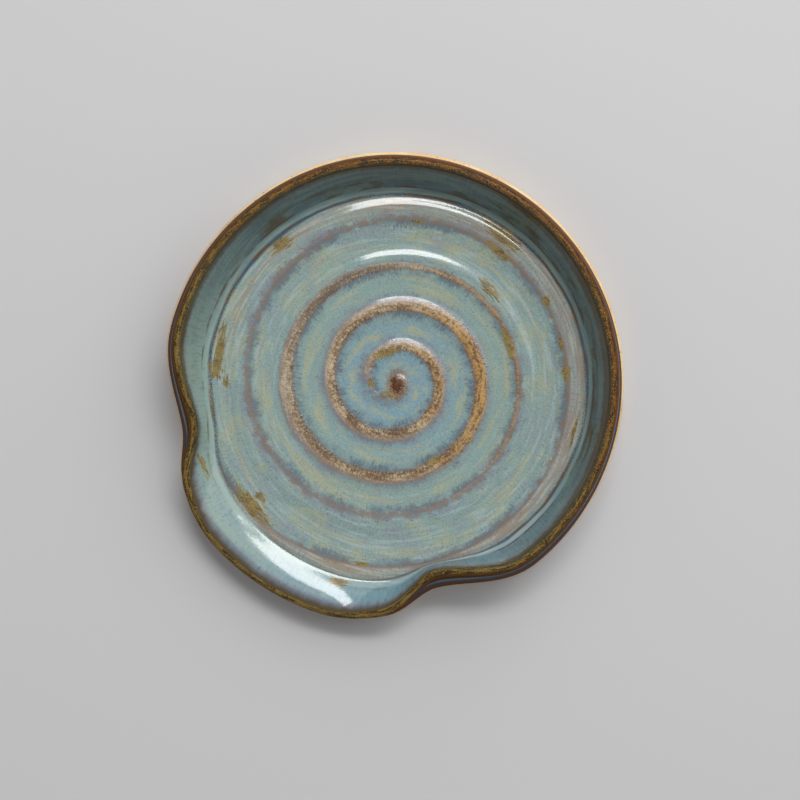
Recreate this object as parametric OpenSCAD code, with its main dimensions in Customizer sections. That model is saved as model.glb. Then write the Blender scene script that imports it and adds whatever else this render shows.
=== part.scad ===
// Spoon rest: a shallow wheel-thrown stoneware dish with a spiral throwing ridge on its floor.
// One side of the wall is pulled out and down into a wide lip for the spoon's handle, and the
// wall is pinched in at each end of that lip. Three coats of glaze are fused to the clay: one
// inside, one round the rim and one outside, which stops above the bare, flared foot.
// Millimetres and degrees. z = 0 is the table, Z runs up through the middle of the foot, and
// the lip faces -Y.

/* [Dish] */
// Diameter at the foot, the widest part apart from the lip
dish_d = 127; // [110:1:150]
// Height over the glazed rim
dish_h = 20; // [17:0.5:26]
// Distance from the edge of the foot in to the middle of the rim
rim_set_in = 4.4; // [3:0.1:6]
// Thickness of the clay at the rim
rim_t = 2.2; // [1.8:0.1:3.5]
// Distance from the middle of the rim in to the edge of the floor
wall_run = 7.3; // [6:0.1:11]
// Slope of the wall's inside at the rim
wall_slope = 76; // [68:1:84]
// Angle between the inside and the outside of the wall at the rim
wall_taper = 22; // [10:1:30]
// Length of the nearly straight part of the wall under the rim
wall_straight = 5.5; // [4:0.1:6.5]
// Share of the wall's run over which the floor starts to turn up
wall_curve = 0.35; // [0.2:0.05:0.6]
// Thickness of the clay floor between its ridges
floor_t = 5; // [4:0.1:7]

/* [Foot] */
// Width of the ring that the dish stands on
foot_w = 14; // [11:0.5:24]
// Height and width of the bevel under the edge of the foot
foot_bevel = 1.2; // [0.6:0.1:2]
// Depth of the turned recess inside the foot ring
recess_h = 1.2; // [0.5:0.1:2]
// Height over which the foot flares out from the wall
foot_flare = 5; // [3:0.1:6]
// Slope of that flare, more than 90 as it leans in over the foot
flare_slope = 118; // [100:1:130]

/* [Lip] */
// How far the lip's edge stands out past the rim
lip_reach = 5.8; // [2:0.1:8]
// How far the lip's edge lies below the rim
lip_drop = 10.3; // [3:0.1:11]
// Slope of the lip's inside at the middle of its edge
lip_slope = 7; // [4:1:45]
// Angle, seen from above, that the lip's full reach takes up
lip_width = 31; // [20:1:40]
// Angle over which the lip runs back into the rim, at each end
lip_shoulder = 33; // [24:1:36]
// Angle over which the rim climbs back to its full height, at each end
lip_climb = 48; // [30:1:52]
// Share of the lip's reach that the floor's edge follows
lip_spread = 0.5; // [0.2:0.02:0.7]
// Share of the lip's reach that the foot follows
foot_spread = 0.3; // [0:0.02:0.6]
// Length of the nearly straight part of the lip inside its edge
lip_straight = 5.1; // [3:0.1:8.5]
// Share of the lip's run over which the floor starts to turn up
lip_curve = 0.05; // [0.02:0.01:0.4]
// How much steeper the lip gets for each degree round towards its +X end
lip_twist = 0.06; // [0:0.02:0.4]

/* [Pinches] */
// Angle from the middle of the lip to each pinch
pinch_angle = 45; // [42:0.5:52]
// How far the rim is pressed in on the -X side of the lip
pinch_left = 4.2; // [2:0.1:8]
// How far the rim is pressed in on the +X side of the lip
pinch_right = 6.2; // [2:0.1:8]
// How much steeper the wall stands at a pinch
pinch_lean = 12; // [0:1:18]
// Angle over which a pinch fades out towards the lip
pinch_inner = 15; // [12:1:20]
// Angle over which a pinch fades out away from the lip
pinch_outer = 26; // [18:1:32]
// Share of a pinch that reaches down to the foot
pinch_foot = 0.92; // [0.6:0.02:1]
// Share of a pinch that reaches the edge of the floor
pinch_floor = 0.25; // [0:0.05:0.4]

/* [Throwing spiral] */
// Height of the spiral ridge
ridge_h = 0.85; // [0.4:0.05:1.3]
// How much steeper the ridge is on its outer side than on its inner side
ridge_skew = 0.5; // [0:0.05:0.7]
// Distance from the spiral's eye to its first turn
first_pitch = 9.3; // [7:0.1:14]
// How much further apart the turns lie, each turn outwards
pitch_growth = 0.64; // [0.1:0.02:1]
// Angle at which the ridge leaves the eye
spiral_start = 98; // [0:1:359]
// Share of a turn by which the spiral is out of round
spiral_wobble = 0.1; // [0:0.01:0.2]
// Direction in which the spiral is out of round
wobble_angle = 153; // [0:1:359]
// Sharpness of the ridge's crest
crest_power = 1.6; // [1:0.1:3]
// Diameter of the small knob in the spiral's eye
eye_d = 6; // [3:0.1:9]
// Width of the groove between the last turn and the wall
edge_groove = 2; // [1:0.1:4]
// Distance of the spiral's eye from the middle of the foot
throw_off = 1.2; // [0:0.1:2]
// Direction of the spiral's eye from the middle of the foot
throw_angle = 4; // [0:1:359]

/* [Glaze] */
// Thickness of the glaze where it pools
glaze_pool = 0.6; // [0.4:0.05:0.9]
// Thickness of the glaze where it runs thin, over ridges and rim
glaze_thin = 0.25; // [0.15:0.05:0.35]
// Middle height above the table at which the outside glaze stops
glaze_line = 3.2; // [2.4:0.1:6]
// How much higher and lower it stops on two opposite sides
line_tilt = 2.8; // [0:0.1:3]
// Direction of the side on which it stops highest
line_angle = 108; // [0:1:359]

/* [Hidden] */
$fn = 128;

// How far a cutting shape runs past the face that it cuts
overcut = 1;

// Angles round the dish, closer together over the lip and its pinches
lip_axis = 270;
near_half = 72;
near_count = 40;
far_count = 40;
near_step = 2 * near_half / near_count;
far_step = (360 - 2 * near_half) / far_count;
angles = concat(
    [for (i = [0 : near_count - 1]) lip_axis - near_half + i * near_step],
    [for (i = [0 : far_count - 1]) lip_axis + near_half + i * far_step]
);
n_angles = len(angles);

// Rows of points along the section, from the middle of the floor over the rim to the foot
row_step = 2.2;
facet_l = 4;
wall_rows = 7;
nose_rows = 6;
outside_rows = 6;
bare_rows = 3;

// Middle of the rounded clay rim, away from the lip
foot_r = dish_d / 2;
nose_r = rim_t / 2;
rim_r = foot_r - rim_set_in;
rim_z = dish_h - glaze_thin - nose_r;

floor_r = rim_r - wall_run;
floor_z = recess_h + floor_t;
floor_rows = ceil(floor_r / row_step);

// Row numbers at which one stretch of the section ends and the next begins
row_floor = floor_rows;
row_rim_in = row_floor + wall_rows;
row_rim_out = row_rim_in + nose_rows;
row_line = row_rim_out + outside_rows;

function mix(a, b, t) = a + (b - a) * t;
function ease(t) = let (u = min(1, max(0, t))) u * u * (3 - 2 * u);
function hump(t) = abs(t) < 1 ? (1 + cos(180 * t)) / 2 : 0;
function turned(angle) = [cos(angle), sin(angle)];
function bezier(p, t) =
    p[0] * pow(1 - t, 3) + 3 * p[1] * t * pow(1 - t, 2) + 3 * p[2] * t * t * (1 - t) + p[3] * pow(t, 3);

// Angle from the middle of the lip, from -180 to 180
function from_lip(a) = let (d = a - lip_axis) d - 360 * round(d / 360);

// 1 over the lip, easing to 0 over the given angle past each end of it
function lip_share(a, shoulder) = 1 - ease((abs(from_lip(a)) - lip_width / 2) / shoulder);
function lip_out(a) = lip_reach * lip_share(a, lip_shoulder);

// 1 at the middle of a pinch, 0 away from both
function pinch_share(a) =
    let (d = abs(from_lip(a)) - pinch_angle) hump(d / (d < 0 ? pinch_inner : pinch_outer));
function pinch_in(a) = (from_lip(a) < 0 ? pinch_left : pinch_right) * pinch_share(a);

// Middle of the rounded rim, and the slope of the wall's inside there
function rim_middle(a) =
    [rim_r + lip_out(a) - pinch_in(a), rim_z - lip_drop * lip_share(a, lip_climb)];
function rim_slope(a) =
    let (slope = lip_slope + lip_twist * from_lip(a))
    mix(wall_slope, slope, lip_share(a, lip_shoulder)) + pinch_lean * pinch_share(a);

// Edge of the clay rim, turning from its inside at 0 to its outside at 1
function nose(a, t) = rim_middle(a) + nose_r * turned(rim_slope(a) + 90 - (180 - wall_taper) * t);

function floor_edge(a) =
    floor_r + lip_spread * lip_out(a) - pinch_floor * pinch_in(a) + throw_off * cos(a - throw_angle);
function foot_edge(a) = foot_r + foot_spread * lip_out(a) - pinch_foot * pinch_in(a);

function inner_wall(a) =
    let (
        edge = floor_edge(a),
        top = nose(a, 0),
        share = lip_share(a, lip_shoulder),
        curve = mix(wall_curve, lip_curve, share),
        straight = mix(wall_straight, lip_straight, share)
    ) [
        [edge, floor_z],
        [mix(edge, top[0], curve), floor_z],
        top - straight * turned(rim_slope(a)),
        top
    ];

// Largest share of the wall's height that its straight part and the foot's flare take up outside
straight_most = 0.45;
flare_most = 0.85;
function outer_wall(a) =
    let (
        top = nose(a, 1),
        bottom = [foot_edge(a), foot_bevel],
        height = top[1] - bottom[1],
        slope = rim_slope(a) + wall_taper,
        straight = min(wall_straight, straight_most * height / sin(slope)),
        flare = min(foot_flare, flare_most * height)
    ) [
        top,
        top - straight * turned(slope),
        bottom + flare / sin(flare_slope) * turned(flare_slope),
        bottom
    ];

// Height of the glaze line, which stays clear of the bevel under the foot
least_bare = 0.4;
function line_z(a) = max(foot_bevel + least_bare, glaze_line + line_tilt * cos(a - line_angle));

// Where a wall passes height z, by halving the interval
line_halvings = 16;
function line_at(wall, z, low = 0, high = 1, left = line_halvings) =
    let (middle = (low + high) / 2)
    left == 0 ? middle
    : bezier(wall, middle)[1] > z ? line_at(wall, z, middle, high, left - 1)
    : line_at(wall, z, low, middle, left - 1);

// Turns of the spiral from its eye out to radius r
function turns(r) =
    (sqrt(first_pitch * first_pitch + 4 * pitch_growth * r) - first_pitch) / (2 * pitch_growth);

// Height of the spiral at radius r and angle a from its eye, as a share of ridge_h
function spiral(r, a) =
    let (
        turn = turns(r) + (a - spiral_start) / 360 - spiral_wobble * cos(a - wobble_angle),
        phase = 360 * turn + ridge_skew * (1 - cos(360 * turn)) * 180 / PI
    )
    mix(1, pow((1 + cos(phase)) / 2, crest_power), ease(2 * r / eye_d));

// The same at radius r and angle a from the middle of the foot, fading into the groove at the wall
function ridge(r, a) =
    let (p = r * turned(a) - throw_off * turned(throw_angle))
    spiral(norm(p), atan2(p[1], p[0])) * ease((floor_edge(a) - r) / edge_groove);

// Section of the clay at angle a, as points of radius and height
function clay_section(a) =
    let (
        inside = inner_wall(a),
        outside = outer_wall(a),
        line = line_at(outside, line_z(a)),
        edge = foot_edge(a)
    ) concat(
        [for (i = [0 : floor_rows])
            let (r = floor_edge(a) * i / floor_rows) [r, floor_z + ridge_h * ridge(r, a)]],
        [for (i = [1 : wall_rows]) bezier(inside, i / wall_rows)],
        [for (i = [1 : nose_rows]) nose(a, i / nose_rows)],
        [for (i = [1 : outside_rows]) bezier(outside, line * i / outside_rows)],
        [for (i = [1 : bare_rows]) bezier(outside, mix(line, 1, i / bare_rows))],
        [[edge - foot_bevel, 0], [0, 0]]
    );

// Thickness of the glaze at a row: thin over the ridges and the rim, thick where it pools
function glaze_t(section, row, a) =
    row <= row_floor ? mix(glaze_pool, glaze_thin, ridge(section[row][0], a))
    : row <= row_rim_in ? mix(glaze_pool, glaze_thin, (row - row_floor) / wall_rows)
    : row <= row_rim_out ? glaze_thin
    : mix(glaze_thin, glaze_pool, (row - row_rim_out) / outside_rows);

// Direction out of the clay at a row, square to its neighbours on the section
function outwards(section, row) =
    row == 0 ? [0, 1]
    : let (along = section[row + 1] - section[row - 1]) [-along[1], along[0]] / norm(along);

function glaze_section(section, a) =
    [for (row = [0 : row_line]) section[row] + glaze_t(section, row, a) * outwards(section, row)];

clay = [for (a = angles) clay_section(a)];
glaze = [for (j = [0 : n_angles - 1]) glaze_section(clay[j], angles[j])];
last_row = len(clay[0]) - 1;

// Every how many angles a row of radius r needs a point, so that the middle rows are not crowded
function stride(r) =
    let (wanted = 2 * PI * r / facet_l)
    r == 0 ? n_angles : wanted > n_angles / 2 ? 1 : wanted > n_angles / 4 ? 2 : wanted > n_angles / 8 ? 4 : 8;
function ring(sections, row) =
    [for (j = [0 : stride(clay[0][row][0]) : n_angles - 1])
        let (p = sections[j][row], a = angles[j]) [p[0] * cos(a), p[0] * sin(a), p[1]]];

// Triangles between ring A and ring B, which has as many points, or twice or half as many, or one
function strip(a0, na, b0, nb) =
    na == 1 ? [for (j = [0 : nb - 1]) [a0, b0 + (j + 1) % nb, b0 + j]]
    : nb == 1 ? [for (j = [0 : na - 1]) [a0 + j, a0 + (j + 1) % na, b0]]
    : na == nb ? [for (j = [0 : na - 1]) let (k = (j + 1) % na)
        each [[a0 + j, a0 + k, b0 + k], [a0 + j, b0 + k, b0 + j]]]
    : nb > na ? [for (j = [0 : na - 1]) let (k = (j + 1) % na, m = 2 * j)
        each [[a0 + j, b0 + m + 1, b0 + m], [a0 + j, a0 + k, b0 + m + 1],
              [a0 + k, b0 + (m + 2) % nb, b0 + m + 1]]]
    : [for (j = [0 : nb - 1]) let (k = (j + 1) % nb, m = 2 * j)
        each [[a0 + m, a0 + m + 1, b0 + j], [a0 + m + 1, b0 + k, b0 + j],
              [a0 + m + 1, a0 + (m + 2) % na, b0 + k]]];

// A closed skin through the rings in turn; one that goes round joins its last ring to its first
module skin(rings, goes_round = false) {
    counts = [for (points = rings) len(points)];
    starts = [for (i = 0, sum = 0; i < len(rings); sum = sum + counts[i], i = i + 1) sum];
    joins = goes_round ? len(rings) : len(rings) - 1;
    polyhedron(
        [for (points = rings) each points],
        [for (i = [0 : joins - 1])
            let (k = (i + 1) % len(rings)) each strip(starts[i], counts[i], starts[k], counts[k])]
    );
}

// A coat of glaze between two rows, lying on the clay
module coat(first_row, final_row) {
    skin(
        concat(
            [for (row = [first_row : final_row]) ring(glaze, row)],
            [for (row = [final_row : -1 : first_row]) ring(clay, row)]
        ),
        goes_round = first_row > 0
    );
}

// The recess turned out of the underside, with a sloping side
module foot_recess() {
    recess_r = foot_r - foot_w;
    translate([0, 0, -overcut]) cylinder(h = recess_h + overcut, r1 = recess_r + overcut, r2 = recess_r - recess_h);
}

// The thrown clay: floor with its spiral, wall, pulled lip, pinches and turned foot
module stoneware_body() color("burlywood") difference() {
    skin([for (row = [0 : last_row]) ring(clay, row)]);
    foot_recess();
}

// Blue-green glaze over the floor and the inside of the wall
module inside_glaze() color("cadetblue") coat(0, row_rim_in);

// Thin glaze that breaks to brown round the edge of the rim and the lip
module rim_glaze() color("saddlebrown") coat(row_rim_in, row_rim_out);

// Glaze down the outside of the wall, as far as the glaze line
module outside_glaze() color("slategray") coat(row_rim_out, row_line);

stoneware_body();
inside_glaze();
rim_glaze();
outside_glaze();
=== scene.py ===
# %% [markdown]
# # A wheel-thrown spoon rest
# The object is a shallow stoneware dish with a spiral ridge on its floor. One side of its wall is
# pulled out into a low lip for the spoon's handle, between two pinches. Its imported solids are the
# frame of this scene: they give the place and the size of everything, and finer pieces with real
# finishes are modelled over them here.

import functools
import math

import bmesh
import bpy
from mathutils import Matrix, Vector


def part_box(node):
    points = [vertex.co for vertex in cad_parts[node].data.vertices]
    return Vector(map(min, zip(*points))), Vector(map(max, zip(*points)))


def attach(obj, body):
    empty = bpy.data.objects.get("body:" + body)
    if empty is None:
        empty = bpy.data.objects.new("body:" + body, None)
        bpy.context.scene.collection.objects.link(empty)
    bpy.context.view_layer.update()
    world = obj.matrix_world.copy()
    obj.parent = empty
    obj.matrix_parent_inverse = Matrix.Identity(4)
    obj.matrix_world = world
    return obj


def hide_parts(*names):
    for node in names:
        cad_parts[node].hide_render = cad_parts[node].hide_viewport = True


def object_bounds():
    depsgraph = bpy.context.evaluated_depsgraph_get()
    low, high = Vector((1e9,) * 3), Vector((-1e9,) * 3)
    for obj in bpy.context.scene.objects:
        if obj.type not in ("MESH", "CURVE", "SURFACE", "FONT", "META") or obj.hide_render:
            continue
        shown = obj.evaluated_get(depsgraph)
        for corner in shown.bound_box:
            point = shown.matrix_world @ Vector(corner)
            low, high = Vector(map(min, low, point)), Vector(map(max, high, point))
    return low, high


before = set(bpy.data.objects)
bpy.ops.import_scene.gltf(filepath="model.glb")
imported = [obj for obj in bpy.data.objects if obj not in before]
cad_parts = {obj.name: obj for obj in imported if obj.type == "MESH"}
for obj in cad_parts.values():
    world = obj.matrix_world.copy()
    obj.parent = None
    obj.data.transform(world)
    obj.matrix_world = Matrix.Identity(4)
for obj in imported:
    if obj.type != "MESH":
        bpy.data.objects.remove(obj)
cad_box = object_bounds()
print("nodes:", ", ".join(sorted(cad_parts)))
print("box in mm:", [[round(1000 * side, 2) for side in corner] for corner in cad_box])

# %% [markdown]
# ## Measures
# Blender works in metres and Python's angles are in radians, so two units are named first. The
# foot and the height come from the frame, and the rest are the potter's own measures: how far the
# rim is set in, how the wall stands, how the lip was pulled and where two fingers pinched it.

# %% Measures of the dish
mm = 0.001
deg = math.pi / 180

foot_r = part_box("stoneware_body")[1][1]
dish_h = cad_box[1][2]

glaze_pool = 0.6 * mm
glaze_thin = 0.25 * mm
glaze_line = 3.2 * mm
line_tilt = 2.8 * mm
line_angle = 108 * deg

rim_set_in = 4.4 * mm
nose_r = 1.1 * mm
rim_r = foot_r - rim_set_in
rim_z = dish_h - glaze_thin - nose_r

wall_run = 7.3 * mm
wall_slope = 76 * deg
wall_taper = 22 * deg
wall_straight = 5.5 * mm
wall_curve = 0.35

floor_t = 5 * mm
recess_h = 1.2 * mm
floor_r = rim_r - wall_run
floor_z = recess_h + floor_t

foot_w = 14 * mm
foot_bevel = 1.2 * mm
foot_flare = 5 * mm
flare_slope = 118 * deg
print(f"foot radius {foot_r / mm:.2f} mm, height {dish_h / mm:.2f} mm, floor radius {floor_r / mm:.2f} mm")

# %% Measures of the lip, the pinches and the spiral
lip_axis = -90 * deg
lip_reach = 5.8 * mm
lip_drop = 10.3 * mm
lip_slope = 7 * deg
lip_width = 31 * deg
lip_shoulder = 33 * deg
lip_climb = 48 * deg
lip_spread = 0.5
foot_spread = 0.3
lip_straight = 5.1 * mm
lip_curve = 0.05
lip_twist = 0.06

pinch_angle = 45 * deg
pinch_left = 4.2 * mm
pinch_right = 6.2 * mm
pinch_lean = 12 * deg
pinch_inner = 15 * deg
pinch_outer = 26 * deg
pinch_foot = 0.92
pinch_floor = 0.25

ridge_h = 0.85 * mm
ridge_skew = 0.5
first_pitch = 9.3 * mm
pitch_growth = 0.64 * mm
spiral_start = 98 * deg
spiral_wobble = 0.1
wobble_angle = 153 * deg
crest_power = 1.6
eye_r = 3 * mm
edge_groove = 2 * mm

throw_off = 1.2 * mm
throw_angle = 4 * deg
eye = Vector((math.cos(throw_angle), math.sin(throw_angle))) * throw_off
print(f"spiral's eye at {eye.x / mm:.2f}, {eye.y / mm:.2f} mm")

# %% [markdown]
# ## The section at any angle
# A thrown pot is described by its section: a line from the middle of the floor, up the wall, over
# the rim and down to the foot. Here the section changes with the angle, because the lip and the
# pinches bend it. So it is written as small functions of the angle, one for each stretch, and every
# piece below takes its points from them. Modelling each bend by hand would never keep the clay and
# its coats of glaze together.

# %% Curves that the section is made of
def mix(first, second, share):
    return first + (second - first) * share


def ease(share):
    held = min(1, max(0, share))
    return held * held * (3 - 2 * held)


def hump(share):
    return (1 + math.cos(math.pi * share)) / 2 if abs(share) < 1 else 0


def turned(angle):
    return Vector((math.cos(angle), math.sin(angle)))


def bezier(points, share):
    rest = 1 - share
    weights = (rest**3, 3 * rest * rest * share, 3 * rest * share * share, share**3)
    return sum((point * weight for point, weight in zip(points, weights)), Vector((0, 0)))


# %% How the lip and the pinches bend the wall
def from_lip(angle):
    return math.remainder(angle - lip_axis, 2 * math.pi)


def lip_share(angle, shoulder):
    return 1 - ease((abs(from_lip(angle)) - lip_width / 2) / shoulder)


def lip_out(angle):
    return lip_reach * lip_share(angle, lip_shoulder)


def pinch_share(angle):
    past = abs(from_lip(angle)) - pinch_angle
    return hump(past / (pinch_inner if past < 0 else pinch_outer))


def pinch_in(angle):
    return (pinch_left if from_lip(angle) < 0 else pinch_right) * pinch_share(angle)


def rim_middle(angle):
    return Vector((
        rim_r + lip_out(angle) - pinch_in(angle),
        rim_z - lip_drop * lip_share(angle, lip_climb),
    ))


def rim_slope(angle):
    slope = lip_slope + lip_twist * from_lip(angle)
    leaning = mix(wall_slope, slope, lip_share(angle, lip_shoulder))
    return leaning + pinch_lean * pinch_share(angle)


@functools.lru_cache(maxsize=None)
def floor_edge(angle):
    off_centre = throw_off * math.cos(angle - throw_angle)
    return floor_r + lip_spread * lip_out(angle) - pinch_floor * pinch_in(angle) + off_centre


@functools.lru_cache(maxsize=None)
def foot_edge(angle):
    return foot_r + foot_spread * lip_out(angle) - pinch_foot * pinch_in(angle)


for place, angle in (("lip", -90), ("left pinch", -135), ("right pinch", -45), ("back", 90)):
    reach = rim_middle(angle * deg) / mm
    print(f"{place}: rim at radius {reach.x:.1f} mm, height {reach.y:.1f} mm")

# %% The throwing spiral
def spiral_turn(radius, angle):
    """Turns of the spiral at a point from its eye: a whole number on the crest of the ridge."""
    run = (math.sqrt(first_pitch**2 + 4 * pitch_growth * radius) - first_pitch) / (2 * pitch_growth)
    return run + (angle - spiral_start) / (2 * math.pi) - spiral_wobble * math.cos(angle - wobble_angle)


def ridge(radius, angle):
    """Height of the ridge at a point from the middle of the dish, as a share of ridge_h."""
    from_eye = radius * turned(angle) - eye
    phase = 2 * math.pi * spiral_turn(from_eye.length, math.atan2(from_eye.y, from_eye.x))
    phase += ridge_skew * (1 - math.cos(phase))
    crest = ((1 + math.cos(phase)) / 2) ** crest_power
    return mix(1, crest, ease(from_eye.length / eye_r)) * ease((floor_edge(angle) - radius) / edge_groove)


# %% [markdown]
# The stretches of the section each run from 0 to 1: floor, inside of the wall, rim, glazed outside,
# bare outside and underside. Under the low lip there is less wall, so its straight part and the flare
# of the foot are held to a share of its height. The potter wiped the foot clean of glaze by eye, so
# the line where the outside glaze stops wavers a little. The underside was turned on the wheel: a
# foot ring, and inside it a recess with the shallow rings that the turning tool leaves.

# %% The stretches of the section
straight_most = 0.45
flare_most = 0.85
least_bare = 0.4 * mm
line_waver = 0.25 * mm
line_halvings = 16
tool_mark_h = 0.07 * mm
tool_mark_step = 2.6 * mm
tool_mark_fade = 1 / 8
foot_round = 0.8 * mm


def on_floor(angle, share):
    radius = floor_edge(angle) * share
    return Vector((radius, floor_z + ridge_h * ridge(radius, angle)))


@functools.lru_cache(maxsize=None)
def inner_wall(angle):
    edge = floor_edge(angle)
    top = on_rim(angle, 0)
    share = lip_share(angle, lip_shoulder)
    curve = mix(wall_curve, lip_curve, share)
    straight = mix(wall_straight, lip_straight, share)
    return (
        Vector((edge, floor_z)),
        Vector((mix(edge, top.x, curve), floor_z)),
        top - straight * turned(rim_slope(angle)),
        top,
    )


def on_wall(angle, share):
    return bezier(inner_wall(angle), share)


def on_rim(angle, share):
    faces = rim_slope(angle) + math.pi / 2 - (math.pi - wall_taper) * share
    return rim_middle(angle) + nose_r * turned(faces)


@functools.lru_cache(maxsize=None)
def outer_wall(angle):
    top = on_rim(angle, 1)
    bottom = Vector((foot_edge(angle), foot_bevel))
    height = top.y - bottom.y
    slope = rim_slope(angle) + wall_taper
    straight = min(wall_straight, straight_most * height / math.sin(slope))
    flare = min(foot_flare, flare_most * height)
    return (
        top,
        top - straight * turned(slope),
        bottom + flare / math.sin(flare_slope) * turned(flare_slope),
        bottom,
    )


@functools.lru_cache(maxsize=None)
def glaze_end(angle):
    """Share of the outer wall at which its glaze stops, found by halving the interval."""
    height = glaze_line + line_tilt * math.cos(angle - line_angle)
    height = max(height, foot_bevel + least_bare)
    height += line_waver * (1 + math.sin(3 * angle + 1) + 0.6 * math.sin(7 * angle))
    low, high = 0, 1
    for _ in range(line_halvings):
        middle = (low + high) / 2
        if bezier(outer_wall(angle), middle).y > height:
            low = middle
        else:
            high = middle
    return (low + high) / 2


def on_outside(angle, share):
    return bezier(outer_wall(angle), glaze_end(angle) * share)


def on_bare(angle, share):
    return bezier(outer_wall(angle), mix(glaze_end(angle), 1, share))


def on_bevel(angle, share):
    turn = share * math.pi / 2
    corner = Vector((foot_edge(angle), foot_bevel))
    return corner - foot_bevel * Vector((1 - math.cos(turn), math.sin(turn)))


recess_r = foot_r - foot_w


def on_foot_ring(angle, share):
    return Vector((mix(foot_edge(angle) - foot_bevel, recess_r + foot_round, share), 0))


def on_recess_side(angle, share):
    return Vector((recess_r + foot_round - (recess_h + 2 * foot_round) * share, recess_h * ease(share)))


def on_recess(angle, share):
    radius = (recess_r - recess_h - foot_round) * (1 - share)
    mark = math.cos(2 * math.pi * radius / tool_mark_step) - 1
    return Vector((radius, recess_h + tool_mark_h * mark * ease(share / tool_mark_fade)))


print("stretches: floor, wall, rim, outside, bare, bevel, foot ring, recess side, recess")

# %% [markdown]
# ## Throwing the meshes
# A potter throws a pot by spinning clay, and the meshes are made the same way. One straight line of
# points is spun into a flat disc of rings, and then every point of ring 1, 2, 3 and so on is moved
# to its place on the section at its own angle. Points that fall together, in the middle of a floor
# or at the edge of a coat, are merged. Two attributes keep each point's way from the rim and up
# from the floor, because the glaze changes colour with them.

# %% Throw a piece on the wheel
columns = 240
merge_distance = 0.002 * mm
sharp_edge = 50 * deg


def throw(name, section):
    """Spin a piece whose section(angle) lists its rows, each a point and its distances."""
    rows = len(section(0))
    shape = bmesh.new()
    ends = [shape.verts.new((radius, 0, 0)) for radius in (1, rows)]
    line = shape.edges.new(ends)
    bmesh.ops.subdivide_edges(shape, edges=[line], cuts=rows - 2)
    bmesh.ops.spin(shape, geom=shape.verts[:] + shape.edges[:], cent=(0, 0, 0), axis=(0, 0, 1),
                   angle=2 * math.pi, steps=columns, use_merge=True)
    from_rim = shape.verts.layers.float.new("from_rim")
    up_wall = shape.verts.layers.float.new("up_wall")
    cut = functools.lru_cache(maxsize=None)(section)
    for vert in shape.verts:
        column = round(math.atan2(vert.co.y, vert.co.x) / (2 * math.pi) * columns) % columns
        angle = column / columns * 2 * math.pi
        point, vert[from_rim], vert[up_wall] = cut(angle)[round(vert.co.xy.length) - 1]
        vert.co = (point.x * math.cos(angle), point.x * math.sin(angle), point.y)
    bmesh.ops.remove_doubles(shape, verts=shape.verts[:], dist=merge_distance)
    bmesh.ops.recalc_face_normals(shape, faces=shape.faces[:])
    for face in shape.faces:
        face.smooth = True
    for edge in shape.edges:
        edge.smooth = edge.calc_face_angle(0) < sharp_edge
    mesh = bpy.data.meshes.new(name)
    shape.to_mesh(mesh)
    shape.free()
    piece = bpy.data.objects.new(name, mesh)
    bpy.context.scene.collection.objects.link(piece)
    triangles = sum(len(face.vertices) - 2 for face in mesh.polygons)
    size = [round(side / mm, 1) for side in piece.dimensions]
    print(f"{name}: {rows} rows, {triangles} triangles, {size} mm")
    return piece


def stretch(where, count, first=1):
    """Rows along one stretch of the section; the first is left out where another ends there."""
    return [(where, row / count) for row in range(first, count + 1)]


# %% [markdown]
# ## The clay
# The body is one lump of fired clay, and all that shows of it is the flared foot and the underside.
# Its rows go right round the section, from the middle of the floor to the middle of the recess.

# %% Throw the clay body
clay_rows = (
    stretch(on_floor, 44, first=0) + stretch(on_wall, 12) + stretch(on_rim, 10) + stretch(on_outside, 14)
    + stretch(on_bare, 10) + stretch(on_bevel, 6) + stretch(on_foot_ring, 6) + stretch(on_recess_side, 8)
    + stretch(on_recess, 80)
)


def clay_section(angle):
    return [(where(angle, share), 0, 0) for where, share in clay_rows]


body = throw("body_clay", clay_section)

# %% [markdown]
# ## The coats of glaze
# Glaze is a thin layer of glass. It runs off the ridges and the rim, so it is thin there, and it
# pools in the valleys and thickens into a roll where it stops above the foot. Each coat starts from
# the same rows as the clay, lifted off it square to the section by the local thickness, and its
# underside is the clay itself. That closes every coat and seats it on the clay with no gap.

# %% Lift a coat off the clay
look_along = 0.01
roll_w = 0.9 * mm
half_nose = nose_r * (math.pi - wall_taper) / 2


def thickness(where, angle, share):
    if where is on_floor:
        return mix(glaze_pool, glaze_thin, ridge(floor_edge(angle) * share, angle))
    if where is on_wall:
        return mix(glaze_pool, glaze_thin, share)
    if where is on_outside:
        end = where(angle, 1)
        left = min(1, (end - where(angle, share)).length / roll_w)
        return mix(glaze_thin, glaze_pool, share) * math.sqrt(max(0, 1 - (1 - left) ** 2))
    return glaze_thin


def outwards(where, angle, share):
    """Direction out of the clay, square to the section."""
    if where is on_floor and share == 0:
        return Vector((0, 1))
    along = where(angle, min(1, share + look_along)) - where(angle, max(0, share - look_along))
    return Vector((-along.y, along.x)).normalized()


def coat_section(rows, first_distance, edge_row=0):
    """Rows of a coat there and back again, with each point's way from the rim and up from the floor."""
    def section(angle):
        clay = [where(angle, share) for where, share in rows]
        top = [point + thickness(where, angle, share) * outwards(where, angle, share)
               for point, (where, share) in zip(clay, rows)]
        way = [0]
        for before, after in zip(top, top[1:]):
            way.append(way[-1] + (after - before).length)
        rim_way = [first_distance(way[-1]) + here for here in way]
        floor_way = [here - way[edge_row] for here in way]
        upper = list(zip(top, rim_way, floor_way))
        lower = list(zip(clay, rim_way, floor_way))
        closing = upper[:1] if rows[0] != (on_floor, 0) else []
        return upper + lower[::-1] + closing
    return section


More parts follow.
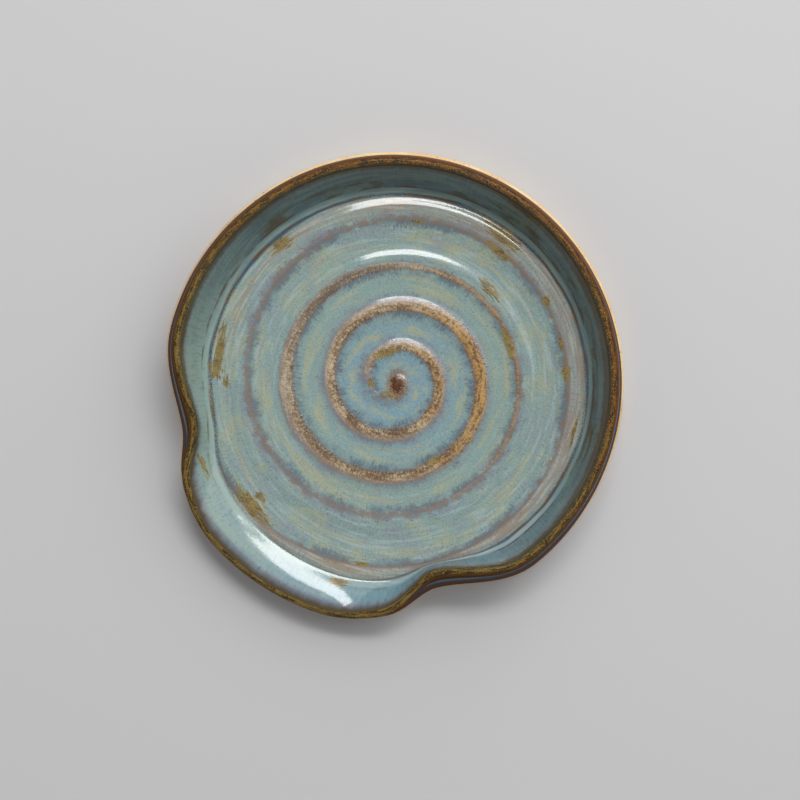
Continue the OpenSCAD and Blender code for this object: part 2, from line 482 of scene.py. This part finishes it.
# %% Throw the three coats
floor_count = 96
inside_rows = stretch(on_floor, floor_count, first=0) + stretch(on_wall, 24)
inside = throw("inside_coat", coat_section(inside_rows, lambda whole: -whole - half_nose, floor_count))
rim = throw("rim_coat", coat_section(stretch(on_rim, 16, first=0), lambda whole: -whole / 2))
outside = throw("outside_coat", coat_section(stretch(on_outside, 28, first=0), lambda whole: half_nose))

# %% [markdown]
# ## Shader sums
# A glaze is a long calculation, and wiring it by hand would hide it in dozens of nodes. A small class
# wraps a socket instead, so that a sum written in Python adds the Math nodes by itself. Colours are
# written as the screen shows them, from 0 to 255, and changed to the shader's own scale.

# %% A socket that can stand in a sum
class Flow:
    """One socket of a material, which can stand in a sum as a number does."""

    def __init__(self, tree, socket=None):
        self.tree = tree
        self.socket = socket

    def node(self, kind, settings=None, sockets=None, output=0):
        """Add a node, make its settings, then fill its sockets with values or other flows."""
        made = self.tree.nodes.new(kind)
        for name, value in (settings or {}).items():
            if name == "stops":
                set_stops(made.color_ramp.elements, value)
            else:
                setattr(made, name, value)
        for name, value in (sockets or {}).items():
            if isinstance(value, Flow):
                self.tree.links.new(value.socket, made.inputs[name])
            else:
                made.inputs[name].default_value = value
        return Flow(self.tree, made.outputs[output])

    def math(self, operation, *others):
        return self.node("ShaderNodeMath", {"operation": operation}, dict(enumerate((self, *others))))

    def __add__(self, other):
        return self.math("ADD", other)

    def __sub__(self, other):
        return self.math("SUBTRACT", other)

    def __rsub__(self, other):
        return self.node("ShaderNodeMath", {"operation": "SUBTRACT"}, {0: other, 1: self})

    def __mul__(self, other):
        return self.math("MULTIPLY", other)

    def __truediv__(self, other):
        return self.math("DIVIDE", other)

    def __abs__(self):
        return self.math("ABSOLUTE")

    __radd__ = __add__
    __rmul__ = __mul__

    def between(self, low, high):
        """0 at low, 1 at high, with a soft start and end; low may be the larger."""
        return self.node("ShaderNodeMapRange", {"interpolation_type": "SMOOTHSTEP"},
                         {"Value": self, "From Min": low, "From Max": high})

    def blend(self, first, second):
        """A colour: the first where this is 0, the second where it is 1."""
        return self.node("ShaderNodeMix", {"data_type": "RGBA"}, {0: self, 6: first, 7: second}, output=2)

    def ramp(self, *stops):
        """A colour picked from stops, each a position and a colour."""
        return self.node("ShaderNodeValToRGB", {"stops": stops}, {0: self})

    def noise(self, size, detail=2, roughness=0.5):
        """Cloudy noise with features of about this size, from 0 to 1."""
        return self.node("ShaderNodeTexNoise", None,
                         {"Vector": self, "Scale": 1 / size, "Detail": detail, "Roughness": roughness})


def set_stops(elements, stops):
    while len(elements) < len(stops):
        elements.new(1)
    for element, (position, colour) in zip(elements, stops):
        element.position = position
        element.color = colour


def paint(red, green, blue):
    def linear(level):
        share = level / 255
        return share / 12.92 if share <= 0.04045 else ((share + 0.055) / 1.055) ** 2.4
    return (linear(red), linear(green), linear(blue), 1)


# %% Start and end of a finish
def start_finish(name):
    """A new material, and the place on the object that its patterns are laid out on."""
    material = bpy.data.materials.new(name)
    material.use_nodes = True
    return material, Flow(material.node_tree).node("ShaderNodeTexCoord", output="Object")


def across(place, centre):
    """How far a place lies from a centre, seen from above, and at which angle."""
    middle = place.node("ShaderNodeVectorMath", {"operation": "SUBTRACT"}, {0: place, 1: (*centre, 0)})
    east = middle.node("ShaderNodeSeparateXYZ", None, {0: middle}, output="X")
    north = middle.node("ShaderNodeSeparateXYZ", None, {0: middle}, output="Y")
    return (east * east + north * north).math("SQRT"), north.math("ARCTAN2", east)


def wrapped(angle, around, along, length):
    """A place for noise that joins up round the dish; around sets how often it changes on the way."""
    return angle.node("ShaderNodeCombineXYZ", None, {
        0: angle.math("COSINE") * around, 1: angle.math("SINE") * around, 2: along / length})


def kept(place, name):
    """A distance that was kept with every point of the mesh."""
    return place.node("ShaderNodeAttribute", {"attribute_name": name}, output="Fac")


coat_roughness = 0.15


def end_finish(material, piece, colour, roughness, height, depth, shine=0.5, coat=None):
    """Feed a finish into the surface shader and lay it on its piece; a coat is gloss on top of it."""
    shader = material.node_tree.nodes["Principled BSDF"]
    shader.inputs["Specular IOR Level"].default_value = shine
    shader.inputs["Coat Roughness"].default_value = coat_roughness
    bump = colour.node("ShaderNodeBump", None, {"Strength": 1, "Distance": depth, "Height": height})
    flows = {"Base Color": colour, "Roughness": roughness, "Normal": bump, "Coat Weight": coat}
    for socket, flow in flows.items():
        if flow:
            material.node_tree.links.new(flow.socket, shader.inputs[socket])
    piece.data.materials.append(material)
    print(f"{material.name}: {len(material.node_tree.nodes)} nodes")


# %% [markdown]
# ## The inside glaze
# This glaze floats: where it lies thick it is milky blue, and where it runs thin over a ridge it
# breaks through grey and mauve to a mottled golden brown. So the finish follows the same spiral as
# the clay, worked out again in the shader from the place on the floor. The distance from the nearest
# crest, roughened by noise, picks the colour.

# %% Where a point of the floor lies on the spiral
inside_finish, place = start_finish("inside_glaze_finish")
radius, angle = across(place, eye)
dish_radius, dish_angle = across(place, (0, 0))
pitch = (first_pitch**2 + radius * (4 * pitch_growth)).math("SQRT")
run = (pitch - first_pitch) / (2 * pitch_growth)
turn = run + (angle - spiral_start) / (2 * math.pi) - (angle - wobble_angle).math("COSINE") * spiral_wobble
off_crest = ((turn + 0.5).math("FRACT") - 0.5) * pitch
way_in = kept(place, "from_rim") * -1
up_wall = kept(place, "up_wall")
warm_angle = 40 * deg
warm_side = (dish_angle - warm_angle).math("COSINE")

# %% [markdown]
# Noise does the rest, in two kinds. Grain, specks, clumps, blots and drifts are the same in all
# directions. Hairs, lines and arcs are stretched across or along the turning direction, as glaze
# creeps on a thrown pot.

# %% Noise that roughens the pattern
grain = place.noise(0.4 * mm, detail=3, roughness=0.65)
speck = place.noise(0.5 * mm, detail=1)
clump = place.noise(0.9 * mm, detail=3, roughness=0.6)
blot = place.noise(2.2 * mm, detail=4, roughness=0.7)
drift = place.noise(9 * mm, detail=3, roughness=0.6)
inner_hair = wrapped(angle, 38, radius, 1.5 * mm).noise(1)
outer_hair = wrapped(angle, 95, radius, 1.5 * mm).noise(1)
hair = inner_hair + (outer_hair - inner_hair) * run.between(1.4, 2.6)
fine = grain * 0.5 + hair * 0.5
tone = wrapped(angle, 2, radius, 8 * mm).noise(1)
arc = wrapped(angle, 2.2, radius, 2.2 * mm).noise(1, detail=3)
line = wrapped(angle, 5, radius, 0.8 * mm).noise(1, detail=3)
smear = wrapped(dish_angle, 16, dish_radius, 0.5 * mm).noise(1, detail=3, roughness=0.6)

# %% [markdown]
# In the valleys the glaze is blue near the eye and turns to sage further out, with long soft pale
# and yellowish arcs along the middle and a fine dark and light grain.

# %% Pools in the valleys
blue_pool = paint(122, 153, 162)
green_pool = paint(133, 157, 150)
sage = paint(162, 164, 130)
pale_blue = paint(160, 178, 182)
lilac = paint(138, 140, 154)
deep_blue = paint(84, 108, 118)
valley = abs(off_crest) / pitch * 2
outer_zone = run.between(2.4, 3.6)
pool = run.between(0.9, 2.6).blend(blue_pool, green_pool)
pool = (arc.between(0.44, 0.66) * valley.between(0.3, 0.9) * 0.8).blend(pool, sage)
pool = (drift.between(0.5, 0.62) * outer_zone * 0.6).blend(pool, sage)
pool = (drift.between(0.48, 0.38) * outer_zone * 0.25).blend(pool, lilac)
pool = (line.between(0.5, 0.66) * (0.2 + outer_zone * 0.45)).blend(pool, pale_blue)
pool = (line.between(0.5, 0.34) * (0.15 + outer_zone * 0.35)).blend(pool, lilac)
sand = grain * 0.75 + hair * 0.25
pool = (sand.between(0.51, 0.63) * 0.45).blend(pool, deep_blue)
pool = (sand.between(0.49, 0.37) * 0.35).blend(pool, pale_blue)

# %% [markdown]
# Over the crests the glaze is thin. The band there is a fine mottle of umber, gold and cream, darker
# at its inner edge and pinkish at its outer one, with hairs that run out into the blue. The first
# turn hardly shows. After two and a half turns the ridge is worn low: the band spreads, the gold
# ends, and a thin mauve line at the foot of the ridge goes on.

# %% How far a point lies outside the band
worn = run.between(2.45, 3.05)
inner_edge = -1.5 * mm - worn * (1.8 * mm)
outer_edge = 1.8 * mm + run.between(2.6, 2.95) * (1.1 * mm) - run.between(2.85, 3.05) * (4.5 * mm)
through = (off_crest - inner_edge) / (outer_edge - inner_edge)
shaggy = mm - worn * (0.6 * mm)
rough = (hair - 0.5) * 3.4 * shaggy + (grain - 0.5) * 2.4 * shaggy + (tone - 0.5) * mm
gone = worn * blot.between(0.56, 0.42) * 0.45 + run.between(1, 0.8) * 0.85
past_band = (inner_edge - off_crest).math("MAXIMUM", off_crest - outer_edge) + rough + gone * (1.4 * mm)

# %% Bands over the crests
umber = paint(98, 72, 48)
brown = paint(126, 104, 76)
gold = paint(160, 141, 110)
cream = paint(200, 184, 158)
amber = paint(188, 142, 70)
pink = paint(170, 152, 140)
dark_edge = paint(92, 76, 68)
mauve = paint(112, 109, 108)
rust_fleck = paint(136, 106, 76)
fringe = paint(118, 113, 116)
navy = paint(86, 104, 116)
dusk = paint(122, 128, 138)
dark_speck = paint(70, 92, 102)
mottle = (grain * 0.35 + clump * 0.25 + hair * 0.15 + line * 0.25 + (tone - 0.5) * 0.3).ramp(
    (0.42, umber), (0.48, brown), (0.535, gold), (0.61, cream))
golden = (warm_side * 0.5 + blot).between(0.5, 1) * (0.5 + run.between(1.2, 1.8) * 0.5)
mottle = (golden * (clump + line).between(0.84, 1.12) * 0.7).blend(mottle, amber)
mottle = ((1 - golden) * through.between(0.4, 1) * 0.5).blend(mottle, pink)
mottle = ((through + (hair - 0.5) * 1.2).between(0.3, 0) * 0.65).blend(mottle, dark_edge)
worn_mottle = (speck + golden * 0.08).between(0.54, 0.64).blend(mauve, rust_fleck)
mottle = (run.between(2.9, 3.1) * 0.85).blend(mottle, worn_mottle)
halo = through.between(0.3, 0.7).blend(navy, dusk)
past_halo = past_band + (hair - 0.5) * (3.5 * mm)
halo_depth = 0.25 + wrapped(angle, 5, radius, 4 * mm).noise(1).between(0.4, 0.6) * 0.75 - worn * 0.2
colour = (past_halo.between(2.8 * mm, 0.2 * mm) * halo_depth).blend(pool, halo)
specked = speck.between(0.58, 0.68) * blot.between(0.4, 0.56) * past_band.between(5 * mm, 0.5 * mm)
colour = (specked * 0.6).blend(colour, dark_speck)
colour = (past_band.between(0.9 * mm, 0.1 * mm) * (0.55 - gone * 0.35)).blend(colour, fringe)
colour = (past_band.between(0.3 * mm, -0.3 * mm) * (1 - gone * 0.4 - worn * 0.25)).blend(colour, mottle)

# %% [markdown]
# Between that line and the wall, on the last half turn, lies a flat shelf where the glaze is thin
# and dull: mauve, tan and cream, in streaks.

# %% The shelf beside the wall
shelf_grey = paint(152, 157, 150)
shelf_tan = paint(156, 138, 122)
shelf_cream = paint(182, 180, 166)
shelf = off_crest.between(-2.7 * mm, -2 * mm) * off_crest.between(4.5 * mm, 3 * mm) * run.between(3.85, 4.1)
shelf_colour = arc.between(0.42, 0.56).blend(shelf_tan, shelf_grey)
shelf_colour = (line.between(0.5, 0.62) * 0.7).blend(shelf_colour, shelf_cream)
shelf_colour = (grain.between(0.54, 0.64) * 0.35).blend(shelf_colour, brown)
colour = (shelf * fine.between(0.62, 0.48) * 0.9).blend(colour, shelf_colour)

# %% [markdown]
# Iron in the clay bleeds through in olive runs along the ridges. Each is an ellipse that lies along
# the turning direction, given by its angle and distance from the middle of the dish, its half length
# and its half width, and noise eats its edge.

# %% Olive runs
olive = paint(142, 122, 68)
dark_olive = paint(92, 76, 40)
olive_runs = (
    (203, 48.3, 9, 1.3), (208, 48.5, 4.5, 2.2), (213, 45.6, 2, 1), (162, 48.3, 4, 2),
    (-106, 51.2, 7.5, 2.2), (-106, 47.9, 2.2, 1.2), (-67, 50.4, 2, 0.8), (86, 49.8, 7.5, 2.4),
    (84, 45.6, 5.5, 1.3), (115, 44.3, 2.6, 0.8), (36, 47.2, 2.8, 1.2), (46, 47, 3, 0.8),
    (61, 47.2, 2, 1.2), (18, 51.2, 5, 0.5), (52, 33.1, 6, 1.1), (77, 36.5, 5, 1.6),
    (-29, 24.2, 2.6, 1.2), (139, 8.3, 4.2, 1.5), (215, 6.1, 1.6, 0.9), (-76, 3.6, 2.2, 0.9),
    (-72, 56.6, 3.2, 1.6), (-123, 56.5, 4, 0.8),
)


def in_ellipse(place, middle, turn, length, width):
    """How far a place lies from the middle of an ellipse on the floor, 1 at its edge."""
    inner = place.node("ShaderNodeMapping", {"vector_type": "TEXTURE"}, {
        "Vector": place, "Location": (*middle, floor_z), "Rotation": (0, 0, turn),
        "Scale": (length, width, dish_h)})
    return inner.node("ShaderNodeVectorMath", {"operation": "LENGTH"}, {0: inner}, output="Value")


stain = None
for run_angle, run_radius, length, width in olive_runs:
    middle = turned(run_angle * deg) * (run_radius * mm)
    near = 1 - in_ellipse(place, middle, run_angle * deg + math.pi / 2, length * mm, width * mm)
    stain = near if stain is None else stain.math("MAXIMUM", near)
stained = (stain + (smear - 0.5) * 2.6 + (grain - 0.5) * 0.9).between(0.08, 0.3) * stain.between(-0.5, 0)
olive_mottle = (grain * 0.6 + blot * 0.4).between(0.42, 0.54).blend(dark_olive, olive)

# %% [markdown]
# The eye of the spiral is a small pointed mound where the glaze is thinnest: a red-brown heart in a
# ring of tan specks, a little longer than it is wide.

# %% The eye of the spiral
dark_rust = paint(44, 10, 0)
rust = paint(98, 46, 12)
tan = paint(144, 114, 74)
eye_turn = 120 * deg
from_eye = in_ellipse(place, eye, eye_turn, 2.5 * mm, 1.8 * mm) + (grain - 0.5) * 1.6 + (speck - 0.5)
heart = fine.ramp((0.43, dark_rust), (0.54, rust), (0.66, tan))
eye_ring = grain.between(0.42, 0.56).blend(rust, tan)
colour = (from_eye.between(2.1, 1.2) * 0.75).blend(colour, eye_ring)
colour = (from_eye.between(1.25, 0.75) * 0.95).blend(colour, heart)

# %% [markdown]
# At the edge of the floor the wall turns up. There is a soft roll of thick glaze between two dark
# creases. Around and past the right pinch the roll is painted paler and bluer: a painted highlight
# of the window along it. Up the wall the glaze is teal with olive patches, and brown takes over just
# under the rim, where it is thin again. On the lip the glaze is clear blue, and the brown is only a
# fringe with violet inside it.

# %% Up the wall
roll_pale = paint(146, 168, 162)
crease_navy = paint(54, 68, 86)
crease_brown = paint(84, 54, 34)
wall_teal = paint(104, 128, 122)
wall_slate = paint(88, 111, 118)
wall_olive = paint(84, 76, 52)
wall_brown = paint(80, 68, 48)
violet = paint(112, 114, 130)
lip_sage = paint(136, 157, 148)
lip_blue = paint(108, 140, 150)


def turns_past_lip(angle):
    """How far round from the middle of the lip a point lies, from -0.5 to 0.5 turns."""
    return ((angle - lip_axis) / (2 * math.pi) + 0.5).math("FRACT") - 0.5


streak = wrapped(dish_angle, 40, up_wall, 6 * mm).noise(1, detail=3)
sweep = wrapped(dish_angle, 5, up_wall, 1.5 * mm).noise(1, detail=3)
cloud = wrapped(dish_angle, 7, up_wall, 4 * mm).noise(1, detail=3)
past_lip = turns_past_lip(dish_angle)
off_lip = abs(past_lip) * (2 * math.pi)
on_lip = off_lip.between(lip_width / 2 + lip_shoulder, lip_width / 2)
wall = sweep.between(0.42, 0.6).blend(wall_slate, wall_teal)
lip = (past_lip * 5 + 0.5 + (sweep - 0.5) * 1.5).between(0, 1).blend(lip_sage, lip_blue)
lip = (streak.between(0.5, 0.66) * 0.15).blend(lip, pale_blue)
wall = off_lip.between(115 * deg, 40 * deg).blend(wall, lip)
patch = cloud.between(0.46, 0.64) * up_wall.between(2 * mm, 3.5 * mm) * up_wall.between(8 * mm, 6 * mm)
wall = (patch * off_lip.between(80 * deg, 110 * deg) * 0.85).blend(wall, wall_olive)
wide_side = warm_side.between(0.5, 1) * (2 * mm)
frayed = (streak - 0.5) * (2.4 * mm - on_lip * (1.2 * mm))
near_rim = way_in + frayed + on_lip * (0.3 * mm) - wide_side
wall = (near_rim.between(5.6 * mm, 3.8 * mm) * (0.25 + on_lip * 0.4)).blend(wall, violet)
wall = (near_rim.between(4.4 * mm, 2.2 * mm)).blend(wall, wall_brown)
wall = (fine.between(0.5, 0.64) * 0.35).blend(wall, crease_navy)
# Painted highlight of the window: past the right pinch the roll is made stronger and pale blue.
painted_roll_glint = past_lip.between(0.06, 0.12) * past_lip.between(0.28, 0.2)
roll_and_glint = up_wall.between(3 * mm, 1.6 * mm) * (0.5 + (line - 0.5) * 1.5 + painted_roll_glint * 0.3)
wall = roll_and_glint.blend(wall, painted_roll_glint.blend(roll_pale, pale_blue))
outer_crease = abs(up_wall - 2.7 * mm + (sweep - 0.5) * (1.6 * mm)).between(0.6 * mm, 0.1 * mm)
wall = (outer_crease * cloud.between(0.42, 0.56) * (1 - on_lip) * 0.7).blend(wall, crease_brown)
colour = up_wall.between(-0.6 * mm, 0.4 * mm).blend(colour, wall)
inner_crease = abs(up_wall + (sweep - 0.5) * (1.2 * mm)).between(0.9 * mm, 0.1 * mm)
crease = cloud.between(0.46, 0.56).blend(crease_navy, crease_brown)
colour = (inner_crease * (grain + tone).between(0.75, 1.05) * (0.9 - on_lip * 0.5)).blend(colour, crease)
colour = (stained * 0.92).blend(colour, olive_mottle)
band = past_band.between(0.4 * mm, -0.4 * mm)
dulled = band * grain * 0.3 + from_eye.between(2, 1) * 0.15
end_finish(inside_finish, inside, colour, 0.08 + dulled, grain * band + blot * 0.3, 0.04 * mm)

# %% [markdown]
# ## The rim and the outside
# The rim's glaze is so thin that iron from the clay colours it: orange brown on one side of the dish
# and olive gold on the other, with dark streaks that run round with the wheel and amber specks.
# Outside it is brown and then slate, where it runs thicker. Thin glaze is hardly a mirror, so the
# shine of both is low, and a coat of gloss lies only on the thick glaze outside.

# %% Rim glaze
rim_finish, place = start_finish("rim_glaze_finish")
rim_angle = across(place, (0, 0))[1]
from_rim = kept(place, "from_rim")
grain = place.noise(0.4 * mm, detail=2)
tone = wrapped(rim_angle, 4, from_rim, 4 * mm).noise(1, detail=3)
streak = wrapped(rim_angle, 16, from_rim, 0.45 * mm).noise(1, detail=3)
rim_dark = paint(50, 38, 28)
rim_orange = paint(112, 72, 34)
rim_olive = paint(116, 97, 50)
rim_gold = paint(162, 124, 62)
rim_teal = paint(66, 70, 58)
edge_brown = paint(108, 66, 30)
brown_angle = 93 * deg
warm = (rim_angle - brown_angle).math("COSINE") * 0.3 + tone
colour = warm.between(0.4, 0.7).blend(rim_olive, rim_orange)
colour = (streak.between(0.58, 0.42) * 0.9).blend(colour, rim_dark)
colour = (grain.between(0.54, 0.64) * 0.7).blend(colour, rim_gold)
colour = (from_rim.between(0.2 * mm, 0.8 * mm) * 0.6).blend(colour, rim_dark)
colour = (from_rim.between(0.7 * mm, 1.3 * mm) * 0.8).blend(colour, edge_brown)
inward = (from_rim + (grain - 0.5) * (1.6 * mm)).between(-0.1 * mm, -1.1 * mm)
past_pinch = abs(turns_past_lip(rim_angle)).between(0.08, 0.16)
colour = (inward * past_pinch * 0.75).blend(colour, rim_teal)
dulled = grain * 0.15 + from_rim.between(0.2 * mm, mm) * 0.7
end_finish(rim_finish, rim, colour, 0.15 + dulled, grain, 0.03 * mm, shine=0.08)

# %% [markdown]
# Just above the line where it was wiped off, the outside glaze is thin again, brown and dull. The
# height of that line is worked out in the shader as it was for the mesh.

# %% Outside glaze
outside_finish, place = start_finish("outside_glaze_finish")
outside_angle = across(place, (0, 0))[1]
from_rim = kept(place, "from_rim")
height = place.node("ShaderNodeSeparateXYZ", None, {0: place}, output="Z")
end_height = (outside_angle - line_angle).math("COSINE") * line_tilt + glaze_line
above_line = height - end_height.math("MAXIMUM", foot_bevel + least_bare)
grain = place.noise(0.5 * mm, detail=2)
streak = wrapped(outside_angle, 40, from_rim, 8 * mm).noise(1, detail=3)
thin_brown = paint(84, 56, 32)
slate = paint(64, 80, 94)
pale_slate = paint(96, 108, 116)
line_brown = paint(122, 72, 30)
colour = (from_rim + (streak - 0.5) * (4 * mm)).between(2.5 * mm, 5 * mm).blend(thin_brown, slate)
colour = (grain.between(0.55, 0.68) * 0.5).blend(colour, pale_slate)
thin = (above_line + (streak - 0.5) * (4 * mm)).between(5 * mm, 1 * mm)
colour = thin.blend(colour, line_brown)
thick = from_rim.between(3 * mm, 6 * mm) * above_line.between(4 * mm, 8 * mm) * 0.7
surface = streak + grain * 0.2
end_finish(outside_finish, outside, colour, 0.6 + grain * 0.2, surface, 0.06 * mm, shine=0, coat=thick)

# %% [markdown]
# ## Bare clay
# The foot and the underside are left bare, or they would stick to the kiln shelf. The fired clay is a
# dry, sandy buff with dark iron specks, toasted to honey in places and along the edge of the glaze.

# %% Bare stoneware
clay_finish, place = start_finish("bare_stoneware_finish")
height = place.node("ShaderNodeSeparateXYZ", None, {0: place}, output="Z")
grain = place.noise(0.3 * mm, detail=3)
toast = place.noise(9 * mm, detail=3)
speck = place.noise(0.7 * mm, detail=0)
buff = paint(240, 210, 160)
honey = paint(222, 174, 110)
iron = paint(96, 66, 44)
toasted = toast.between(0.42, 0.62) * 0.6 + height.between(3 * mm, 6 * mm) * 0.2
colour = toasted.blend(buff, honey)
colour = (grain.between(0.35, 0.65) * 0.25).blend(colour, honey)
colour = (speck.between(0.72, 0.8) * 0.8).blend(colour, iron)
end_finish(clay_finish, body, colour, 0.7 + grain * 0.2, grain, 0.08 * mm)

# %% [markdown]
# ## Seat the pieces on the frame
# Each piece rides on the only body of the part and hides the solid that it stands for.

# %% Ride and replace
for piece, node, slot in (
    (body, "stoneware_body", "bare_stoneware"),
    (inside, "inside_glaze", "blue_green_glaze"),
    (rim, "rim_glaze", "brown_rim_glaze"),
    (outside, "outside_glaze", "outside_glaze"),
):
    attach(piece, "root")
    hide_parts(node)
    print(f"{piece.name} stands for {node}")

# %% [markdown]
# ## Floor, light and camera
# The dish lies on a plain pale floor and is seen from straight above. A bright window with a few
# panes lights it from the top and shows as sharp patches on the glossy ridges and the lip. A
# large soft panel behind the window and a dim room fill in the rest.

# %% Floor
floor_size = 3.0
ground_shape = bmesh.new()
bmesh.ops.create_grid(ground_shape, x_segments=1, y_segments=1, size=floor_size / 2)
ground_mesh = bpy.data.meshes.new("ground")
ground_shape.to_mesh(ground_mesh)
ground_shape.free()
ground = bpy.data.objects.new("ground", ground_mesh)
bpy.context.scene.collection.objects.link(ground)
ground_finish = bpy.data.materials.new("pale_floor")
ground_finish.use_nodes = True
floor_roughness = 0.85
ground_shader = ground_finish.node_tree.nodes["Principled BSDF"]
ground_shader.inputs["Base Color"].default_value = paint(196, 196, 197)
ground_shader.inputs["Roughness"].default_value = floor_roughness
ground_mesh.materials.append(ground_finish)

# %% Camera
camera_turn = 33 * deg
camera_height = 0.6
sensor_w = 36
view_w = 0.2206
view_height = 1.5 * mm
view_middle = (4.2 * mm, -3.15 * mm)
camera_data = bpy.data.cameras.new("camera")
camera_data.sensor_width = sensor_w
camera_data.lens = sensor_w * (camera_height - view_height) / view_w
camera = bpy.data.objects.new("camera", camera_data)
camera.location = (*view_middle, camera_height)
camera.rotation_euler = (0, 0, camera_turn)
bpy.context.scene.collection.objects.link(camera)
bpy.context.scene.camera = camera
print(f"lens {camera_data.lens:.1f} mm")

# %% Lamps
def from_view(right, up, height):
    """A place given as the picture shows it: to the right, up, and above the table."""
    flat = turned(camera_turn) * right + turned(camera_turn + math.pi / 2) * up
    return Vector((flat.x, flat.y, height))


def soft_light(name, middle, width, depth, brightness, turn):
    """A rectangular lamp; brightness is what a mirror would show of it."""
    data = bpy.data.lights.new(name, "AREA")
    data.shape = "RECTANGLE"
    data.size = width
    data.size_y = depth
    data.energy = brightness * math.pi * width * depth
    lamp = bpy.data.objects.new(name, data)
    lamp.location = middle
    lamp.rotation_euler = turn
    bpy.context.scene.collection.objects.link(lamp)
    print(f"{name}: {width:.2f} by {depth:.2f} m, {data.energy:.1f} W")


window_h = 0.9
window_bright = 13
panes = ((-0.14, 0.12, 0.43, 0.67), (0.12, 0.44, 0.44, 0.67), (0.5, 0.6, 0.44, 0.67))
for number, (left, right, near, far) in enumerate(panes, start=1):
    middle = from_view((left + right) / 2 * window_h, (near + far) / 2 * window_h, window_h)
    soft_light(f"window_{number}", middle, (right - left) * window_h, (far - near) * window_h,
               window_bright, (0, 0, camera_turn))
panel_middle = from_view(1.0, 1.4, 1.5)
panel_size = 2.8
panel_bright = 1.5
panel_turn = panel_middle.to_track_quat("Z", "Y").to_euler()
soft_light("panel", panel_middle, panel_size, panel_size, panel_bright, panel_turn)
room_level = 0.36
world = bpy.data.worlds.new("room")
world.use_nodes = True
world.node_tree.nodes["Background"].inputs["Color"].default_value = (1, 1, 1, 1)
world.node_tree.nodes["Background"].inputs["Strength"].default_value = room_level
bpy.context.scene.world = world
bpy.context.scene.view_settings.view_transform = "Standard"
